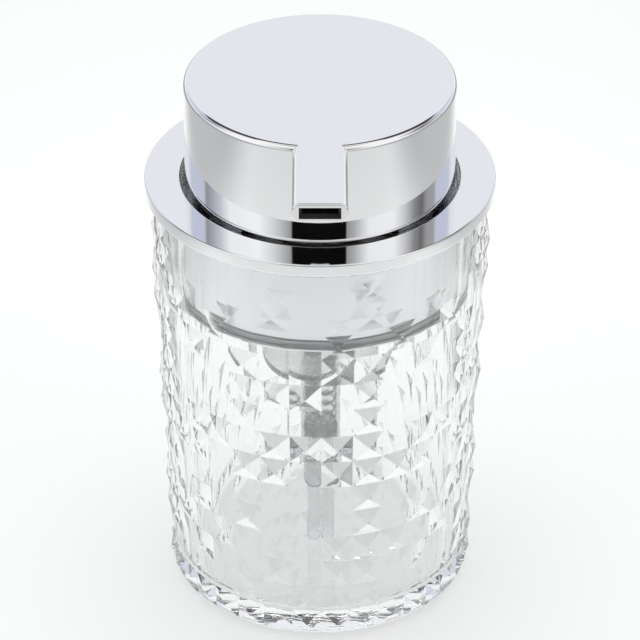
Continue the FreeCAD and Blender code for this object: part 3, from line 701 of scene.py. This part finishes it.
def make_floor():
    """A grey table top made pale by painted light: its glow, brightest under the bottle, stands
    in for light from below, and painted shade dims it far out to the sides.
    """
    shape = bmesh.new()
    bmesh.ops.create_circle(shape, cap_ends=True, radius=FLOOR_RADIUS, segments=96)
    mesh = bpy.data.meshes.new("floor")
    shape.to_mesh(mesh)
    shape.free()
    floor = solid_object("floor", mesh)
    floor.location.z = -FLOOR_DROP
    made, tree, shader = new_material("floor_with_painted_light", FLOOR_GREY, 0.9)
    shader.inputs["Specular IOR Level"].default_value = 0.1
    # painted light: the floor glows with its own emission, brightest under the bottle, so no
    # shadow shows there
    shader.inputs["Emission Color"].default_value = (0.98, 1.0, 0.99, 1.0)
    painted_glow = glow(tree, PAINTED_GLOW_CENTRE, PAINTED_GLOW_REACH, [
        (0.0, 0.30), (0.42, 0.40), (0.52, 0.46), (0.60, 0.58), (1.0, 0.64)])
    place = tree.nodes.new("ShaderNodeTexCoord")
    split = tree.nodes.new("ShaderNodeSeparateXYZ")
    tree.links.new(place.outputs["Object"], split.inputs["Vector"])
    aside = math_node(tree, "ABSOLUTE", split.outputs["X"])
    back = math_node(tree, "MINIMUM", split.outputs["Y"], PAINTED_POOL_BACK)
    lean = math_node(tree, "MULTIPLY", back, PAINTED_POOL_LEAN)
    painted_pool_spill = math_node(tree, "MULTIPLY", math_node(tree, "ADD", aside, lean), 1.0 / PAINTED_POOL_WIDTH)
    # painted shade: the floor's glow falls to 0.3 of its strength out at the sides, so the
    # chrome mirrors a darker floor there
    painted_pool_shade = tree.nodes.new("ShaderNodeValToRGB")
    tree.links.new(painted_pool_spill, painted_pool_shade.inputs["Fac"])
    ramp_stops(painted_pool_shade, [(0.53, 1.0), (0.92, 0.3), (1.0, 0.3)])
    painted_pool_shade.color_ramp.interpolation = "EASE"
    painted_light_total = math_node(tree, "MULTIPLY", painted_glow, painted_pool_shade.outputs["Color"])
    tree.links.new(painted_light_total, shader.inputs["Emission Strength"])
    mesh.materials.append(made)


def ramp_stops(ramp, stops):
    """Set a colour ramp from (position, grey or colour) pairs."""
    band = ramp.color_ramp
    while len(band.elements) > 1:
        band.elements.remove(band.elements[-1])
    for index, (position, shade) in enumerate(stops):
        color = (shade, shade, shade) if isinstance(shade, float) else shade
        element = band.elements[0] if index == 0 else band.elements.new(position)
        element.position = position
        element.color = (*color, 1.0)


def mixed(tree, driver, stops, first, second):
    """Mix two colours (outputs or greys) by a ramp of the driver's value."""
    share = tree.nodes.new("ShaderNodeValToRGB")
    ramp_stops(share, stops)
    tree.links.new(driver, share.inputs["Fac"])
    mix = tree.nodes.new("ShaderNodeMix")
    mix.data_type = "RGBA"
    tree.links.new(share.outputs["Color"], mix.inputs["Factor"])
    for socket, given in ((mix.inputs[6], first), (mix.inputs[7], second)):
        if isinstance(given, float):
            socket.default_value = (given, given, given, 1.0)
        else:
            tree.links.new(given, socket)
    return mix.outputs[2]


def make_world():
    """A light tent: pale walls, a dark slot in front, grey gaps beside it, a soft top."""
    world = bpy.data.worlds.new("studio")
    scene.world = world
    world.use_nodes = True
    tree = world.node_tree
    back = tree.nodes["Background"]
    place = tree.nodes.new("ShaderNodeTexCoord")
    split = tree.nodes.new("ShaderNodeSeparateXYZ")
    tree.links.new(place.outputs["Generated"], split.inputs["Vector"])

    front = math_node(tree, "MULTIPLY", split.outputs["Y"], -1.0)
    azimuth = math_node(tree, "ARCTAN2", split.outputs["X"], front)
    turn = math_node(tree, "MULTIPLY_ADD", azimuth, 0.5 / math.pi)
    turn.node.inputs[2].default_value = 0.5 + SKY_TURN / 360.0
    walls = tree.nodes.new("ShaderNodeValToRGB")
    tree.links.new(turn, walls.inputs["Fac"])

    def at(degrees):
        return 0.5 + degrees / 360.0

    ramp_stops(walls, [
        (0.0, LAVENDER), (at(-150), LAVENDER), (at(-140), BLUISH), (at(-116), BLUISH),
        (at(-112), 0.32), (at(-104), (0.42, 0.43, 0.50)), (at(-94), (0.60, 0.61, 0.68)),
        (at(-82), (0.98, 0.98, 1.0)), (at(-53), 1.05), (at(-40), 0.80), (at(-26), 0.42),
        (at(-23.5), 0.34), (at(-22.5), 0.004), (at(22.5), 0.004), (at(23.5), 0.34),
        (at(30), 0.48), (at(43), 0.98), (at(66), 1.02), (at(76), 0.72), (at(88), 0.30),
        (at(97), 0.16), (at(104), 0.36), (at(114), 0.40), (at(118), BLUISH),
        (at(140), BLUISH), (at(150), LAVENDER), (1.0, LAVENDER),
    ])
    cove = tree.nodes.new("ShaderNodeValToRGB")
    tree.links.new(turn, cove.inputs["Fac"])
    ramp_stops(cove, [(0.0, 0.06), (at(-125), 0.06), (at(-100), 1.0), (at(100), 1.0),
                      (at(125), 0.06), (1.0, 0.06)])
    ceiling = mixed(tree, split.outputs["Z"], [(0.90, 0.0), (0.92, 1.0)],
                    cove.outputs["Color"], 1.0)
    zenith = mixed(tree, split.outputs["Z"], [(0.93, 0.0), (0.985, 1.0)], ceiling, 0.5)
    upper = mixed(tree, split.outputs["Z"], [(0.64, 0.0), (0.68, 1.0)],
                  walls.outputs["Color"], zenith)
    lower = mixed(tree, split.outputs["Z"],
                  [(0.0, 0.15), (0.05, 0.15), (0.08, 0.75), (0.24, 0.75), (0.30, 0.0)],
                  upper, 1.0)
    tree.links.new(lower, back.inputs["Color"])
    back.inputs["Strength"].default_value = 1.0


def make_lights():
    """One soft disc overhead, which the chrome does not mirror."""
    top = bpy.data.lights.new("top_softbox", "AREA")
    top.shape = "DISK"
    top.size = LAMP_SIZE
    top.energy = LAMP_POWER
    lamp = bpy.data.objects.new("top_softbox", top)
    scene.collection.objects.link(lamp)
    lamp.location = LAMP_PLACE
    lamp.visible_glossy = False


def make_camera():
    """A long lens, a metre away, looking down on the spout's side."""
    data = bpy.data.cameras.new("camera")
    data.sensor_width = 36.0
    data.lens = FOCAL_PIXELS / PICTURE_WIDTH * data.sensor_width
    data.clip_start = 0.01
    camera = bpy.data.objects.new("camera", data)
    scene.collection.objects.link(camera)
    toward = Vector((0.0, -math.cos(CAMERA_ELEVATION), math.sin(CAMERA_ELEVATION)))
    camera.location = CAMERA_TARGET + CAMERA_DISTANCE * toward
    camera.rotation_euler = (math.pi / 2 - CAMERA_ELEVATION, 0.0, 0.0)
    scene.camera = camera


make_camera()
make_floor()
make_world()
make_lights()
scene.view_settings.view_transform = "Standard"
scene.cycles.max_bounces = 24
scene.cycles.diffuse_bounces = 10
scene.cycles.glossy_bounces = 16
scene.cycles.transmission_bounces = 24

make_bottle()
make_lid_cover()
make_button_shell()
make_spring()
dress_cad_nodes()
